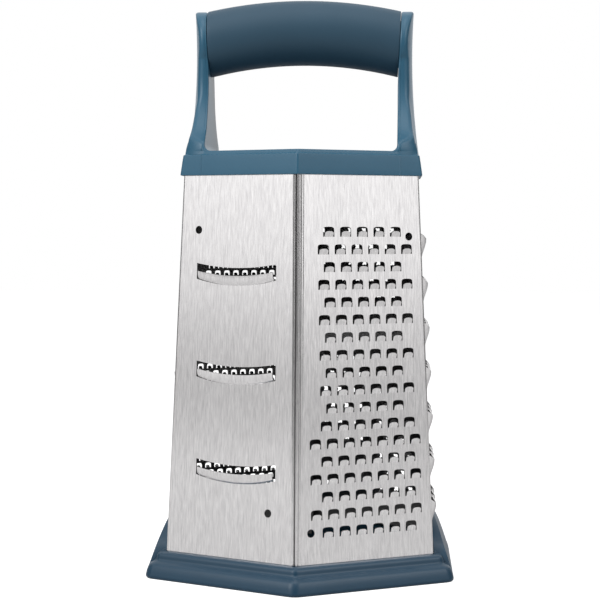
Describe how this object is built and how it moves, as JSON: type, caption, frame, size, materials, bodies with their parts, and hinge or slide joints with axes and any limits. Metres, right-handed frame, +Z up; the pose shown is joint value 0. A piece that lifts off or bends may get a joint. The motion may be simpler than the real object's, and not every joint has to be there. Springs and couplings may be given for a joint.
{
  "type": "box grater",
  "caption": "Hexagonal box grater in bent and punched steel sheet, with a moulded collar, a bowed soft grip and a soft non-slip base ring.",
  "frame": {"origin": "centre of the base ring's underside, on the surface that it stands on", "axes": "+Z up the body, +X along the handle towards the coarse shredder face, -Y towards the front corner between the slicer face and the medium shredder face"},
  "size_m": [0.1226, 0.1408, 0.2323],
  "materials": {
    "steel": "brushed",
    "frame": "fine moulded texture",
    "grip": "matte",
    "ring": "matte"
  },
  "bodies": {
    "root": {"left_shell": "steel", "right_shell": "steel", "handle_frame": "frame", "grip_sleeve": "grip", "base_carrier": "frame", "base_ring": "ring"}
  },
  "joints": []
}
